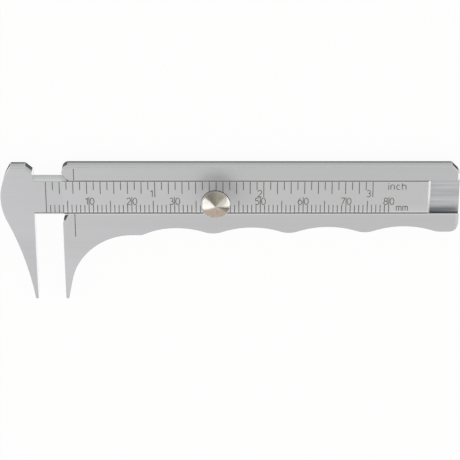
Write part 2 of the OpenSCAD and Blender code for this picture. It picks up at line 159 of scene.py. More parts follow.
class Wire:
    """A shader socket that sums, differences and products can be written with."""

    def __init__(self, tree, socket=None):
        self.tree = tree
        self.socket = socket

    def add(self, kind, settings=None, values=None, output=0):
        """Adds a node of any kind and gives one of its outputs."""
        node = self.tree.nodes.new(kind)
        for key, value in (settings or {}).items():
            setattr(node, key, value)
        for key, value in (values or {}).items():
            if isinstance(value, Wire):
                self.tree.links.new(value.socket, node.inputs[key])
            else:
                node.inputs[key].default_value = value
        return Wire(self.tree, node.outputs[output] if len(node.outputs) else None)

    def math(self, operation, *operands):
        """A calculation with up to three numbers."""
        return self.add("ShaderNodeMath", {"operation": operation}, dict(enumerate(operands)))

    def __add__(self, other):
        return self.math("ADD", self, other)

    def __sub__(self, other):
        return self.math("SUBTRACT", self, other)

    def __rsub__(self, other):
        return self.math("SUBTRACT", other, self)

    def __mul__(self, other):
        return self.math("MULTIPLY", self, other)

    def __truediv__(self, other):
        return self.math("DIVIDE", self, other)

    def part(self, axis):
        """One of the three numbers of a vector."""
        return self.add("ShaderNodeSeparateXYZ", None, {0: self}, "XYZ".index(axis))

    def length(self):
        """How long a vector is."""
        return self.add("ShaderNodeVectorMath", {"operation": "LENGTH"}, {0: self}, 1)

    def ramp(self, low, high, start=0.0, end=1.0):
        """A number that climbs smoothly from start to end while this one goes from low to high."""
        return self.add(
            "ShaderNodeMapRange",
            {"interpolation_type": "SMOOTHSTEP"},
            {"Value": self, "From Min": low, "From Max": high, "To Min": start, "To Max": end},
        )

    def stretched(self, size, centre=(0, 0, 0)):
        """Coordinates in which a pattern's features have this size."""
        moved = self.add("ShaderNodeVectorMath", {"operation": "SUBTRACT"}, {0: self, 1: centre})
        return moved.add("ShaderNodeVectorMath", {"operation": "DIVIDE"}, {0: moved, 1: size})

    def noise(self, detail, roughness):
        """Clouds at these coordinates."""
        return self.add(
            "ShaderNodeTexNoise",
            {"noise_dimensions": "3D"},
            {"Vector": self, "Scale": 1.0, "Detail": detail, "Roughness": roughness},
        )

    def specks(self, size, detail, roughness):
        """Clouds of one size in all directions."""
        return self.stretched((size, size, size)).noise(detail, roughness)

    def blend(self, first, second):
        """A colour between two, with this number as the share of the second."""
        return self.add("ShaderNodeMix", {"data_type": "RGBA"}, {0: self, 6: first, 7: second}, 2)

    def bump(self, depth):
        """Normals of a surface whose height is this number times a depth."""
        return self.add("ShaderNodeBump", None, {"Height": self, "Distance": depth, "Strength": 1.0})


def shade(colour, factor):
    """A colour made darker or lighter, as a socket takes it."""
    return tuple(min(channel * factor, 1.0) for channel in colour) + (1.0,)


def new_finish(name):
    """An empty material and the start of its wires: Object coordinates."""
    finish = bpy.data.materials.new(name)
    finish.use_nodes = True
    finish.node_tree.nodes.clear()
    start = Wire(finish.node_tree)
    return finish, start.add("ShaderNodeTexCoord", None, None, "Object")


def close_finish(wire, values):
    """Puts the surface shader on a material."""
    surface = wire.add("ShaderNodeBsdfPrincipled", None, values)
    wire.add("ShaderNodeOutputMaterial", None, {"Surface": surface})


def ground_steel(name, steel, tone=1.0, roughness=1.0, streak=1.0, grain=1.0, painted_light=None):
    """Steel ground along X: long fine lines, a little mottling, and painted light and shade where a function for
    them is given.
    """
    finish, at = new_finish(name)
    width = steel.grain * grain
    lines = at.stretched((60 * width, width, width)).noise(3, 0.6)
    bands = at.stretched((90 * MM, 1.1 * MM, 1.1 * MM)).noise(2, 0.5)
    cloud = at.stretched((14 * MM, 9 * MM, 9 * MM)).noise(3, 0.55)
    satin = at.specks(0.09 * MM, 2, 0.7)
    tint = (lines - 0.5) * (0.10 * streak) + (bands - 0.5) * (0.10 * streak)
    tint = tint + (cloud - 0.5) * 0.10 + (satin - 0.5) * 0.08 + 0.5
    # Painted highlights and painted shade from the given function
    if painted_light:
        tint = tint + painted_light(at)
    colour = tint.blend(shade(steel.colour, tone * 0.7), shade(steel.colour, tone * 1.3))
    height = lines * (0.6 * streak) + satin * 0.4
    close_finish(at, {
        "Base Color": colour,
        "Metallic": 1.0,
        "Roughness": (lines * 0.5 + cloud * 0.5 + 0.5) * (steel.roughness * roughness),
        "Normal": height.bump(0.0012 * MM),
    })
    return finish


def painted_point_shading(at, amount):
    """Painted shading on the jaws' points by an amount, and nothing elsewhere."""
    return (SLIDE_Y - at.part("Y")).ramp(8 * MM, 15 * MM) * amount


def on_face(at):
    """One on the caliper's face and nothing on its back."""
    return at.part("Z").ramp(FACE_Z - 0.4 * MM, FACE_Z - 0.1 * MM)


def in_groove(at):
    """One on the part of the slide that runs in the groove, which starts beside the neck."""
    return at.part("X").ramp(JAW_X + 6.3 * MM, JAW_X + 7.2 * MM)


def slide_light_paint(at):
    """Painted highlights along the slide's edges where it runs in the groove, more over the lower lines, a little
    lighter overall there, a painted shadow of the screw, and painted shade on the jaw's point.
    """
    below = SLIDE_Y - at.part("Y")
    aside = below.math("ABSOLUTE", below)
    inside = aside.ramp(SLIDE_HALF, SLIDE_HALF + 0.06 * MM, 1, 0) * in_groove(at) * on_face(at)
    # Painted highlights just inside the slide's edges, stronger at the lower edge, and over the lower lines
    edges = below.ramp(-MM, MM, 0.2, 0.45) * aside.ramp(SLIDE_HALF - 0.5 * MM, SLIDE_HALF - 0.2 * MM)
    lines = below.ramp(SLIDE_HALF - 2.2 * MM, SLIDE_HALF) * 0.12
    # Painted shadow of the screw, to its right and above it
    beside = at.stretched((MM, MM, 100 * MM), (SCREW.x + 4 * MM, SLIDE_Y + 2.5 * MM, 0))
    screw_shadow = beside.length().ramp(3.5, 7.5, -0.12, 0)
    return (edges + lines + screw_shadow + 0.055) * inside + painted_point_shading(at, -0.15)


def body_light_paint(at):
    """Painted highlight on the lower rail along the groove's lip, and painted shade on the fixed jaw's point."""
    below = SLIDE_Y - at.part("Y")
    # Painted highlight: a band on the lower rail along the lip
    lip = below.ramp(GROOVE_HALF + 0.25 * MM, GROOVE_HALF + 0.5 * MM, 1, 0)
    lip = lip * below.ramp(GROOVE_HALF - 0.2 * MM, GROOVE_HALF) * on_face(at)
    return lip * 0.28 + painted_point_shading(at, -0.05)


def milled_floor(name, steel):
    """Floor of the groove: milling bands along X, and painted shade under the lower lip."""
    finish, at = new_finish(name)
    bands = at.stretched((15 * MM, 0.8 * MM, MM)).noise(1.5, 0.5)
    lines = at.stretched((30 * MM, 0.2 * MM, MM)).noise(2, 0.5)
    tint = (bands - 0.5) * 0.5 + (lines - 0.5) * 0.2 + 0.5
    steel_tone = tint.blend(shade(steel.colour, 0.3), shade(steel.colour, 1.52))
    below = SLIDE_Y - at.part("Y")
    # Painted shade on the lower part of the floor, deepest under the lower lip
    under = below.ramp(2.45 * MM, 3.0 * MM) * 0.15
    under = under + below.ramp(GROOVE_HALF, GROOVE_HALF + 0.5 * MM) * 0.55
    close_finish(at, {
        "Base Color": under.blend(steel_tone, shade(steel.colour, 0.1)),
        "Metallic": 1.0,
        "Roughness": bands * 0.1 + 0.29,
        "Normal": lines.bump(0.002 * MM),
    })
    return finish


def polished_edge(name, steel, tone, roughness=0.22):
    """Bright polished steel with small nicks."""
    finish, at = new_finish(name)
    nicks = at.specks(0.5 * MM, 3, 0.6)
    dull, bright = shade(steel.colour, tone * 0.93), shade(steel.colour, tone * 1.07)
    close_finish(at, {
        "Base Color": nicks.ramp(0.3, 0.7).blend(dull, bright),
        "Metallic": 1.0,
        "Roughness": nicks * 0.2 + (roughness - 0.1),
    })
    return finish


def running_edge(name, steel):
    """Broken edges along the slide, with painted shade where they run in the groove, most along the lower side."""
    finish, at = new_finish(name)
    # Painted shade of the gap between the slide and the body
    gap_shade = at.math("MAXIMUM", in_groove(at) * 0.5, (SLIDE_Y - at.part("Y")).ramp(0, MM))
    grit = at.stretched((1.2 * MM, 0.3 * MM, 0.3 * MM)).noise(3, 0.6)
    gap_shade = gap_shade * (grit * 0.3 + 0.75)
    close_finish(at, {
        "Base Color": gap_shade.blend(shade(steel.colour, 1.1), shade(steel.colour, 0.13)),
        "Metallic": 1.0,
        "Roughness": grit * 0.2 + 0.3,
    })
    return finish


def mouth_ends(at):
    """One for the painted highlights above and below the painted shade on the cut beside the groove, which leans
    with the depth.
    """
    below = SLIDE_Y - at.part("Y") - (FACE_Z - at.part("Z")) * 0.445
    return below.ramp(4.4 * MM, 4.6 * MM, 1, 0) + below.ramp(5.75 * MM, 5.95 * MM)


def corner_end(at):
    """One at the lower end of the cut across the moving jaw's corner, which turns to the light."""
    return at.part("X").ramp(JAW_X - 0.5 * MM, JAW_X - 0.25 * MM)


def tail_end(at):
    """One at the lower end of the cut across the tail's corner, which turns to the light."""
    return at.part("X").ramp(TAIL_X - 0.55 * MM, TAIL_X - 0.3 * MM)


def wall_steel(name, steel, dark_to, dark, tone, lit=None, top=1.2, matt=False):
    """Upright wall with upright grinding lines, painted shade from the back up to a height that lightens towards the
    face, a painted highlight where a lit mask is given, and matt in the painted shade if asked.
    """
    finish, at = new_finish(name)
    lines = at.stretched((0.15 * MM, 0.15 * MM, 4 * MM)).noise(3, 0.6)
    spots = at.stretched((0.9 * MM, 0.9 * MM, 0.5 * MM)).noise(3, 0.6)
    height = at.part("Z") + (spots - 0.5) * (0.25 * MM)
    # Painted shade: dark from the back up to dark_to, then lightening towards the face
    level = height.ramp(dark_to - 0.2 * MM, dark_to + 0.2 * MM, dark, 0.8)
    level = level + height.ramp(dark_to, FACE_Z, 0, 0.2) + (lines - 0.5) * 0.12
    # A lit mask lifts the level as a painted highlight
    if lit:
        level = level.math("MAXIMUM", level, lit(at) * top)
    # Walls are a little warmer than the faces
    colour = tuple(a * b for a, b in zip(steel.colour, (1, 0.99, 0.94)))
    close_finish(at, {
        "Base Color": (level / top).blend((0, 0, 0, 1), shade(colour, top * tone)),
        "Metallic": level.ramp(0.38, 0.7) if matt else 1.0,
        "Specular IOR Level": 0.0 if matt else 0.5,
        "Roughness": lines * 0.2 + 0.25,
        "Normal": lines.bump(0.001 * MM),
    })
    return finish


def about_screw(at):
    """Place from the screw's middle in millimetres, and the angle about its axis."""
    place = at.stretched((MM, MM, MM), tuple(SCREW))
    return place, place.math("ARCTAN2", place.part("Y"), place.part("X"))


def turned_metal(name, screw):
    """Turned metal: rings about the screw's axis and faint streaks towards it."""
    finish, at = new_finish(name)
    place, turn = about_screw(at)
    radius = place.add("ShaderNodeVectorMath", {"operation": "MULTIPLY"}, {0: place, 1: (1, 1, 0)}).length()
    ring = radius.add("ShaderNodeCombineXYZ", None, {"X": radius * 14.0, "Z": place.part("Z") * 9.0})
    rings = ring.noise(3, 0.65)
    streaks = turn.add("ShaderNodeCombineXYZ", None, {"X": turn * 9.0, "Y": radius * 0.35}).noise(3, 0.6)
    cloud = at.specks(1.5 * MM, 3, 0.6)
    tint = (rings * 0.3 + cloud * 0.2 + streaks * 0.5).ramp(0.3, 0.7)
    close_finish(at, {
        "Base Color": tint.blend(shade(screw.colour, 0.76), shade(screw.colour, 1.14)),
        "Metallic": 1.0,
        "Roughness": (rings * 0.6 + streaks * 0.6 + 0.4) * screw.roughness,
        "Normal": rings.bump(0.004 * MM),
    })
    return finish


def knurled_metal(name, screw):
    """Toothed rim, dark all over, with painted shade between the teeth."""
    finish, at = new_finish(name)
    turn = about_screw(at)[1]
    valley = turn.math("COSINE", turn * float(screw.teeth))
    grit = at.specks(0.12 * MM, 3, 0.6)
    crest = valley.ramp(-0.9, 0.3, 0.9, 0) + grit * 0.1
    close_finish(at, {
        "Base Color": crest.blend(shade(screw.colour, 0.01), shade(screw.colour, 0.3)),
        "Metallic": 1.0,
        "Specular Tint": (0.05, 0.05, 0.05, 1),
        "Roughness": grit * 0.2 + 0.3,
        "Normal": grit.bump(0.004 * MM),
    })
    return finish


def polished_cone(name):
    """Cone under the rim, with fine turning lines, painted lighter than the screw's metal so that the screw's dark
    reflection in the slide comes out lighter.
    """
    finish, at = new_finish(name)
    lines = at.stretched((4 * MM, 4 * MM, 0.1 * MM)).noise(3, 0.6)
    close_finish(at, {
        "Base Color": lines.blend((0.74, 0.73, 0.71, 1), (0.86, 0.85, 0.83, 1)),
        "Metallic": 1.0,
        "Roughness": lines * 0.1 + 0.12,
        "Normal": lines.bump(0.002 * MM),
    })
    return finish


def dark_filling(name, mark):
    """Matt lacquer rubbed into the engraving, with paler worn spots."""
    finish, at = new_finish(name)
    worn = at.specks(0.5 * MM, 4, 0.6)
    grit = at.specks(0.05 * MM, 2, 0.6)
    close_finish(at, {
        "Base Color": worn.ramp(0.45, 0.75).blend(shade(mark.colour, 0.8), shade(mark.colour, 1.9)),
        "Roughness": grit * 0.3 + 0.5,
        "Normal": grit.bump(0.004 * MM),
    })
    return finish


def blued_spring(name):
    """Tempered spring steel with straw and blue colours."""
    finish, at = new_finish(name)
    heat = at.specks(2.5 * MM, 3, 0.6)
    lines = at.stretched((6 * MM, 0.12 * MM, 0.12 * MM)).noise(3, 0.6)
    close_finish(at, {
        "Base Color": heat.ramp(0.35, 0.65).blend((0.17, 0.18, 0.23, 1), (0.26, 0.23, 0.19, 1)),
        "Metallic": 1.0,
        "Roughness": lines * 0.25 + 0.2,
        "Normal": lines.bump(0.003 * MM),
    })
    return finish


def copy_of(node):
    """A solid's mesh, merged into closed form with its flat faces whole."""
    bm = bmesh.new()
    bm.from_mesh(frame["nodes"][node].data)
    bmesh.ops.remove_doubles(bm, verts=bm.verts[:], dist=MERGE)
    bmesh.ops.dissolve_limit(
        bm, angle_limit=math.radians(0.3), use_dissolve_boundaries=False,
        verts=bm.verts[:], edges=bm.edges[:], delimit=set()
    )
    return bm


def engraved(edge):
    """True beside an engraved line: one of the faces reaches the engraving's floor."""
    return any(
        abs(v.co.z - MARK_FLOOR) < MERGE and v.co.y > SLIDE_Y - MARKS_END
        for f in edge.link_faces for v in f.verts
    )


def cut_faces(bm, faces, point, direction):
    """Cuts faces along a plane through a point."""
    edges = {e for f in faces for e in f.edges}
    verts = {v for f in faces for v in f.verts}
    bmesh.ops.bisect_plane(
        bm, geom=faces + list(edges) + list(verts), dist=MERGE, plane_co=point, plane_no=direction
    )


def grind_jaw(bm, steps=36):
    """Gives a jaw's thinned face one smooth curve that starts level with the flat face."""
    thin = [
        f for f in bm.faces
        if f.normal.z > 0.9 and max(v.co.y for v in f.verts) < SLIDE_Y - JAW_START
        and min(v.co.z for v in f.verts) < FACE_Z - LEVEL
    ]
    points = [v.co.copy() for f in thin for v in f.verts]
    start, tip = max(p.y for p in points), min(p.y for p in points)
    drop = FACE_Z - min(p.z for p in points)
    faces = bmesh.ops.dissolve_faces(bm, faces=thin, use_verts=False)["region"]
    for face in faces:
        face.material_index = JAW_TAG
    for i in range(1, steps):
        faces = [f for f in bm.faces if f.material_index == JAW_TAG]
        cut_faces(bm, faces, (0, start + (tip - start) * i / steps, 0), (0, 1, 0))
    for face in bm.faces:
        if face.material_index == JAW_TAG:
            face.material_index = 0
            for v in face.verts:
                v.co.z = FACE_Z - drop * ((start - v.co.y) / (start - tip)) ** 2


def height_of(face):
    """Height of a face from its lowest to its highest point."""
    return max(v.co.z for v in face.verts) - min(v.co.z for v in face.verts)


def in_pin_hole(edge):
    """True round the hole that the stop pin stands in."""
    low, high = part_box("stop_pin")
    middle, radius = (low + high) / 2, (high.x - low.x) / 2
    return all((v.co.xy - middle.xy).length < radius * 1.2 for v in edge.verts)


def in_screw_hole(edge):
    """True round the hole that the screw goes through."""
    return all((v.co.xy - SCREW.xy).length < SCREW_HOLE for v in edge.verts)


def break_edges(bm, edges, width, kind, segments=3):
    """Bevels edges, gives each new face the finish that a rule names, and gives the new faces."""
    made = bmesh.ops.bevel(
        bm, geom=edges, offset=width, offset_type="OFFSET", affect="EDGES", segments=segments, profile=0.5,
        material=-1, clamp_overlap=False, loop_slide=True
    )["faces"]
    for face in made:
        face.normal_update()
        face.material_index = kind(face)
    return made


def edge_kind(step, face):
    """Which of a step's finishes a broken edge has."""
    if face.calc_center_median().z < BACK_EDGE:
        return step.WALL
    # Edges facing -Y take the darker lower-edge finish, a painted shade
    return step.LOW if face.normal.y < -0.2 else step.EDGE


def long_edges(edges, aside):
    """Edges along X on the caliper's face at a distance from the slide's middle."""
    return [
        e for e in edges
        if abs(e.verts[0].co.y - e.verts[1].co.y) < LEVEL and all(
            abs(abs(v.co.y - SLIDE_Y) - aside) < LEVEL and abs(v.co.z - FACE_Z) < LEVEL
            for v in e.verts
        )
    ]


def clear_strips(bm, aside, inner):
    """Cuts the face along the slide, so that between an edge and the marks it is one plain strip."""
    outward = 1 if aside > inner else -1
    for side in (-1, 1):
        top = [f for f in bm.faces if f.normal.z > 0.99 and all(abs(v.co.z - FACE_Z) < MERGE for v in f.verts)]
        cut_faces(bm, top, (0, SLIDE_Y + side * inner, 0), (0, 1, 0))
        strip = [
            f for f in bm.faces
            if f.normal.z > 0.99 and all(
                abs(v.co.z - FACE_Z) < MERGE and 0 < side * (v.co.y - SLIDE_Y)
                and (side * (v.co.y - SLIDE_Y) - inner) * outward > -MERGE for v in f.verts
            )
        ]
        strip = bmesh.ops.dissolve_faces(bm, faces=strip, use_verts=False)["region"]
        # The moving jaw is cut off too, because the slide's edge ends in its inner corner
        cut_faces(bm, strip, (JAW_X, 0, 0), (1, 0, 0))


def slanted_edges(edges, low, high):
    """Slanting edges on the caliper's face inside a box in X and Y."""
    return [
        e for e in edges
        if min(abs(e.verts[0].co[i] - e.verts[1].co[i]) for i in (0, 1)) > 0.5 * MM
        and all(abs(v.co.z - FACE_Z) < LEVEL for v in e.verts)
        and all(low[i] < v.co[i] < high[i] for v in e.verts for i in (0, 1))
    ]


def sharp_edges(bm, limit=math.radians(25)):
    """Convex edges of a solid's outline, without the engraving and the holes."""
    return [
        e for e in bm.edges
        if e.is_manifold and e.calc_face_angle_signed() > limit
        and not engraved(e) and not in_pin_hole(e) and not in_screw_hole(e)
    ]


def smooth_walls(bm, limit=math.radians(14)):
    """Curved walls are smooth, flat faces and corners aren't."""
    for face in bm.faces:
        face.smooth = True
    for edge in bm.edges:
        wide = any(f.calc_area() > WIDE_AREA and len(f.verts) > 4 for f in edge.link_faces)
        edge.smooth = edge.is_manifold and edge.calc_face_angle() < (math.radians(0.5) if wide else limit)


def finish_piece(name, bm, finishes, body, node):
    """Makes a piece of a mesh, puts it on its body and lets it stand for its solid."""
    mesh = bpy.data.meshes.new(name)
    bm.to_mesh(mesh)
    bm.free()
    for finish in finishes:
        mesh.materials.append(finish)
    piece = bpy.data.objects.new(name, mesh)
    bpy.context.scene.collection.objects.link(piece)
    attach(piece, body)
    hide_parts(node)


def repaint(node, finish):
    """Gives a solid that stays as it is a material."""
    slots = frame["nodes"][node].data.materials
    slots.clear()
    slots.append(finish)


class CALIPER_OT_body(Operator):
    """Body with its fixed jaw, rails and groove, with broken edges"""

    bl_idname = "caliper.body"
    bl_label = "Body"

    FACE, EDGE, FLOOR, FLANK, WALL, NOSE, TAIL, MOUTH, END, LIP, LOW = range(11)
    # The slanted edges at the groove's mouth lie between these in X, and this far above and below the slide's middle
    MOUTH_LEFT, MOUTH_RIGHT = FIXED_X - 0.1 * MM, FIXED_X + 1.5 * MM
    MOUTH_ABOVE, MOUTH_BELOW = 7 * MM, 8 * MM
    # Width of the breaks on them
    UPPER_BREAK, LOWER_BREAK = 0.35 * MM, 0.2 * MM

    def execute(self, context):
        steel = context.scene.caliper_steel
        bm = copy_of("body")
        grind_jaw(bm)
        wide = [f for f in bm.faces if f.normal.z > 0.99 and f.calc_area() > FLOOR_AREA]
        floor_z = min(f.calc_center_median().z for f in wide)
        for face in bm.faces:
            face.material_index = self.kind(face, floor_z)
        clear_strips(bm, GROOVE_HALF, GROOVE_HALF + STRIP)
        left, right = self.MOUTH_LEFT, self.MOUTH_RIGHT
        # The upper mouth edge is broken wide in the whitened end finish, a painted highlight; the lower one takes
        # the cut's painted shade and highlights
        upper = slanted_edges(sharp_edges(bm), (left, SLIDE_Y), (right, SLIDE_Y + self.MOUTH_ABOVE))
        made = break_edges(bm, upper, self.UPPER_BREAK, lambda face: self.END, 1)
        lower = slanted_edges(sharp_edges(bm), (left, SLIDE_Y - self.MOUTH_BELOW), (right, SLIDE_Y))
        made += break_edges(bm, lower, self.LOWER_BREAK, lambda face: self.MOUTH, 1)
        edges = [e for e in sharp_edges(bm) if not any(f in made for f in e.link_faces)]
        lips = long_edges(edges, GROOVE_HALF)
        others = [e for e in edges if e not in lips]
        break_edges(bm, others, steel.edge_break, lambda face: edge_kind(self, face))
        break_edges(bm, long_edges(sharp_edges(bm), GROOVE_HALF), steel.edge_break, lambda face: self.LIP)
        smooth_walls(bm)
        finish_piece(
            "body_plate", bm,
            [
                ground_steel("ground steel of the body", steel, painted_light=body_light_paint),
                polished_edge("broken edges of the body", steel, 0.95),
                milled_floor("milled floor of the groove", steel),
                ground_steel("milled flanks of the groove", steel, 0.95, 0.8, 2.2, 1.6),
                # Walls have painted shade from the back up to the given height; the tail's cut and the cut beside
                # the groove have painted highlights at their ends
                wall_steel("straight edge of the body", steel, 1.0 * MM, 0.2, 0.84),
                wall_steel("round corner of the body", steel, 2.4 * MM, 0.26, 0.88, matt=True),
                wall_steel("cut corner of the tail", steel, 2.5 * MM, 0.17, 1.05, tail_end, matt=True),
                wall_steel("cut beside the groove", steel, 5 * MM, 0.04, 0.95, mouth_ends, matt=True),
                # The end and the lips are whitened beyond the other broken edges as painted highlights, and the
                # lower edges darkened as painted shade
                polished_edge("chamfered end of the body", steel, 1.7, 0.4),
                polished_edge("lips of the groove", steel, 1.3),
                polished_edge("lower edges of the body", steel, 0.55),
            ],
            "body", "body"
        )
        return {"FINISHED"}

    def kind(self, face, floor_z):
        """Which finish a face of the body has."""
        middle, out = face.calc_center_median(), face.normal
        upright = abs(out.z) < 0.2
        if out.z > 0.99 and abs(middle.z - floor_z) < MERGE:
            return self.FLOOR
        if -0.9 < out.z < -0.3:
            return self.FLANK
        # The chamfered end and the cut above the groove's mouth take the whitened end finish, a painted highlight
        if out.x > 0.6 and out.z > 0.6 and middle.y > SLIDE_Y:
            return self.END
        if upright and out.x < -0.5 and out.y < -0.3 and middle.y > SLIDE_Y:
            return self.END
        if upright and out.y > 0.2 and height_of(face) > MM:
            if middle.y < SLIDE_Y:
                return self.MOUTH
            if out.x < -0.15:
                return self.NOSE
            return self.TAIL if out.x > 0.3 else self.WALL
        return self.FACE


class CALIPER_OT_slide(Operator):
    """Slide with its moving jaw, with broken edges"""

    bl_idname = "caliper.slide"
    bl_label = "Slide"

    FACE, EDGE, FLANK, WALL, BACK, CORNER, END, RUN, LOW = range(9)

    def execute(self, context):
        steel = context.scene.caliper_steel
        bm = copy_of("slide")
        grind_jaw(bm)
        clear_strips(bm, SLIDE_HALF, SLIDE_HALF - STRIP)
        for face in bm.faces:
            face.material_index = self.kind(face)
        measuring = [
            f for f in bm.faces if f.normal.x > 0.9 and abs(f.calc_center_median().x - JAW_X) < MERGE
        ]
        for v in {v for f in measuring for v in f.verts}:
            v.co.x -= SHUT_GAP
        edges = sharp_edges(bm)
        along = long_edges(edges, SLIDE_HALF)
        others = [e for e in edges if e not in along]
        break_edges(bm, others, steel.edge_break, lambda face: edge_kind(self, face))
        break_edges(bm, long_edges(sharp_edges(bm), SLIDE_HALF), steel.slide_break, lambda face: self.RUN)
        smooth_walls(bm)
        finish_piece(
            "slide_bar", bm,
            [
                ground_steel("ground steel of the slide", steel, painted_light=slide_light_paint),
                polished_edge("broken edges of the slide", steel, 0.95),
                # Walls have painted shade from the back up to the given height; the round back is lightened above it
                # and the cut corner's lower end whitened, as painted highlights
                wall_steel("flanks of the slide", steel, 2.4 * MM, 0.6, 1.06),
                wall_steel("straight edge of the moving jaw", steel, 0.95 * MM, 0.12, 0.86),
                wall_steel("round back of the moving jaw", steel, 2.3 * MM, 0.04, 1.8, matt=True),
                wall_steel("cut corner of the moving jaw", steel, 2.0 * MM, 0.29, 0.86, corner_end, 2.0, True),
                # The measuring face and end are whitened as a painted highlight, the running edges carry a painted
                # shade of the gap, and the lower edges are darkened as painted shade
                polished_edge("measuring face and end of the slide", steel, 1.7, 0.4),
                running_edge("running edges of the slide", steel),
                polished_edge("lower edges of the moving jaw", steel, 0.75),
            ],
            "slide", "slide"
        )
        return {"FINISHED"}

    def kind(self, face):
        """Which finish a face of the slide has."""
        middle, out = face.calc_center_median(), face.normal
        if out.x > 0.6 and out.z > 0.6:
            return self.END
        if 0.3 < out.z < 0.7 and abs(out.y) > 0.5:
            return self.FLANK
        if abs(out.z) < 0.2 and height_of(face) > 1.5 * MM and middle.x < JAW_X + 0.1 * MM:
            if out.x > 0.9:
                return self.END
            if out.y > 0.2 and out.x > 0.3:
                return self.CORNER
            if out.y > 0.9:
                return self.WALL
            if out.x < -0.2 and out.y > 0.12:
                return self.BACK
        return self.FACE


class CALIPER_OT_thumb_screw(Operator):
    """Turned thumb screw with a toothed rim and a shallow cone"""

    bl_idname = "caliper.thumb_screw"
    bl_label = "Thumb screw"

    TURNED, TOOTHED, POLISHED = range(3)

    def execute(self, context):
        screw = context.scene.caliper_screw
        low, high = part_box("thumb_screw")
        head = (high.x - low.x) / 2
        top = high.z
        rim_top, rim_low = top - 1.2 * MM, top - 1.9 * MM
        neck, shank, neck_low = 1.45 * MM, 1.25 * MM, FACE_Z + 0.25 * MM
        neck_top, ring = neck_low + 0.45 * MM, head - 0.2 * MM
        bm = bmesh.new()
        profile = [
            (0, low.z), (shank, low.z), (shank, neck_low), (neck, neck_low), (neck, neck_top),
            (ring, rim_low), (head, rim_low),
        ]
        # The cone is a little fuller than straight
        for share in (1, 0.85, 0.7, 0.55, 0.4, 0.25, 0.1, 0.05, 0):
            drop = share * (1 - screw.fullness) + share * share * screw.fullness
            profile.append((head * share, top - (top - rim_top) * drop))
        points = [bm.verts.new((SCREW.x + r, SCREW.y, z)) for r, z in profile]
        lines = [bm.edges.new(pair) for pair in zip(points, points[1:])]
        # Four steps to a tooth
        bmesh.ops.spin(
            bm, geom=points + lines, cent=(SCREW.x, SCREW.y, 0), axis=(0, 0, 1), dvec=(0, 0, 0),
            angle=math.tau, steps=screw.teeth * 4, use_merge=True
        )
        bmesh.ops.remove_doubles(bm, verts=bm.verts[:], dist=MERGE)
        bmesh.ops.recalc_face_normals(bm, faces=bm.faces[:])
        # Radius, height, width and steps of each rounded edge
        for r, z, width, segments in (
            (neck, neck_top, 0.4 * MM, 4), (ring, rim_low, 0.08 * MM, 2), (head, rim_low, 0.08 * MM, 2),
            (head, rim_top, 0.06 * MM, 2), (neck, neck_low, 0.1 * MM, 2), (shank, low.z, 0.25 * MM, 1),
        ):
            circle = [
                e for e in bm.edges
                if all(abs((v.co.xy - SCREW.xy).length - r) < MERGE and abs(v.co.z - z) < MERGE for v in e.verts)
            ]
            bmesh.ops.bevel(
                bm, geom=circle, offset=width, offset_type="OFFSET", affect="EDGES", segments=segments,
                profile=0.5, material=-1, clamp_overlap=False
            )
        # Notches down the rim, which hardly reach its upper edge
        rim, outermost = rim_top - 0.05 * MM, head - 0.12 * MM
        for v in bm.verts:
            out = v.co.xy - SCREW.xy
            if out.length > outermost and v.co.z > rim_low - MERGE:
                notch = max(math.cos(math.atan2(out.y, out.x) * screw.teeth), 0) * screw.tooth_depth
                v.co.xy -= out.normalized() * notch * (1 if v.co.z < rim else 0.3)
        notched = head - 0.16 * MM
        for face in bm.faces:
            face.normal_update()
            middle = face.calc_center_median()
            if (middle - SCREW).xy.length > notched and abs(face.normal.z) < 0.5 and middle.z < rim:
                face.material_index = self.TOOTHED
            elif neck_low < middle.z < rim_low and face.normal.z < -0.1:
                face.material_index = self.POLISHED
            else:
                face.material_index = self.TURNED
        smooth_walls(bm, math.radians(24))
        finish_piece(
            "knurled_thumb_screw", bm,
            [
                turned_metal("turned metal of the screw", screw),
                knurled_metal("toothed rim of the screw", screw),
                polished_cone("polished cone under the rim"),
            ],
            "thumb_screw", "thumb_screw"
        )
        return {"FINISHED"}


class CALIPER_OT_marks(Operator):
    """Dark filling of the lines, the numbers and the unit words"""

    bl_idname = "caliper.marks"
    bl_label = "Marks"

    def execute(self, context):
        filling = dark_filling("dark filling of the marks", context.scene.caliper_marks)
        for node in MARKS:
            repaint(node, filling)
        return {"FINISHED"}


class CALIPER_OT_inner_pieces(Operator):
    """Friction spring and stop pin"""

    bl_idname = "caliper.inner_pieces"
    bl_label = "Inner pieces"

    def execute(self, context):
        tempered = blued_spring("tempered spring steel")
        for node in ("friction_spring", "stop_pin"):
            repaint(node, tempered)
        return {"FINISHED"}


